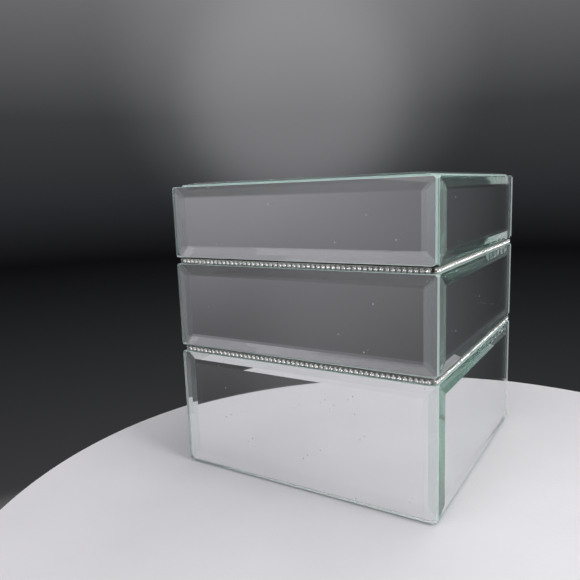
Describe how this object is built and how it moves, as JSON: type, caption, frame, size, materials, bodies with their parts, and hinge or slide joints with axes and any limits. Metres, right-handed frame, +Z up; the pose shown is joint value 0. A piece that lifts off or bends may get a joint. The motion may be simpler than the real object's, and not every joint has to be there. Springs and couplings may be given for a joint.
{
  "type": "mirrored trinket box",
  "caption": "Square trinket box in stacked tiers, faced with bevelled mirror glass and crystal strips; the tray swings out on a corner post and the deep lid is hinged.",
  "frame": {"origin": "centre of the underside, on the surface that the box stands on", "axes": "+Z up, +X to the right, -Y towards the front; the corner post is at -X +Y"},
  "size_m": [0.15, 0.15, 0.1615],
  "materials": {
    "mirror_glass": "bevelled silvered float glass with polished green edges",
    "carcass_board": "fibreboard, rims painted satin charcoal",
    "velvet_lining": "black flocked velvet",
    "velvet_pad": "black velvet over thin foam",
    "felt": "black pressed felt",
    "crystal_cups": "bright silver-plated cup chain",
    "crystal": "clear faceted foil-backed crystal",
    "nylon": "natural nylon",
    "steel": "bright turned steel",
    "brass": "satin brass"
  },
  "bodies": {
    "base": {"base_front_wall": "carcass_board", "base_rear_wall": "carcass_board", "base_left_wall": "carcass_board", "base_right_wall": "carcass_board", "base_floor": "carcass_board", "base_front_mirror": "mirror_glass", "base_rear_mirror": "mirror_glass", "base_left_mirror": "mirror_glass", "base_right_mirror": "mirror_glass", "base_lining": "velvet_lining", "base_pad": "velvet_pad", "base_felt": "felt", "base_corner_block": "carcass_board", "base_crystal_band": "crystal_cups", "base_crystals": "crystal", "rim_glides": "nylon", "pivot_post": "steel", "thrust_washer": "nylon", "top_washer": "nylon", "cap_nut": "steel", "stop_pin": "steel"},
    "tray": {"tray_front_wall": "carcass_board", "tray_rear_wall": "carcass_board", "tray_left_wall": "carcass_board", "tray_right_wall": "carcass_board", "tray_floor": "carcass_board", "tray_front_mirror": "mirror_glass", "tray_rear_mirror": "mirror_glass", "tray_left_mirror": "mirror_glass", "tray_right_mirror": "mirror_glass", "tray_lining": "velvet_lining", "tray_pad": "velvet_pad", "tray_corner_block": "carcass_board", "pivot_bush": "brass", "tray_crystal_band": "crystal_cups", "tray_crystals": "crystal", "hinge_tray_leaves": "brass", "hinge_tray_screws": "brass", "hinge_pins": "steel"},
    "lid": {"lid_front_wall": "carcass_board", "lid_rear_wall": "carcass_board", "lid_left_wall": "carcass_board", "lid_right_wall": "carcass_board", "lid_board": "carcass_board", "lid_front_mirror": "mirror_glass", "lid_rear_mirror": "mirror_glass", "lid_left_mirror": "mirror_glass", "lid_right_mirror": "mirror_glass", "lid_top_mirror": "mirror_glass", "lid_inner_mirror": "mirror_glass", "lid_lining": "velvet_lining", "lid_bumpers": "nylon", "hinge_lid_leaves": "brass", "hinge_lid_screws": "brass"}
  },
  "joints": [
    {"name": "tray_swing", "type": "hinge", "parent": "base", "child": "tray", "pos_m": [-0.056, 0.056, 0.0708], "axis": [0, 0, -1], "range_deg": [0, 90]},
    {"name": "lid_hinge", "type": "hinge", "parent": "tray", "child": "lid", "pos_m": [0, 0.0724, 0.1193], "axis": [-1, 0, 0], "range_deg": [0, 95]}
  ]
}
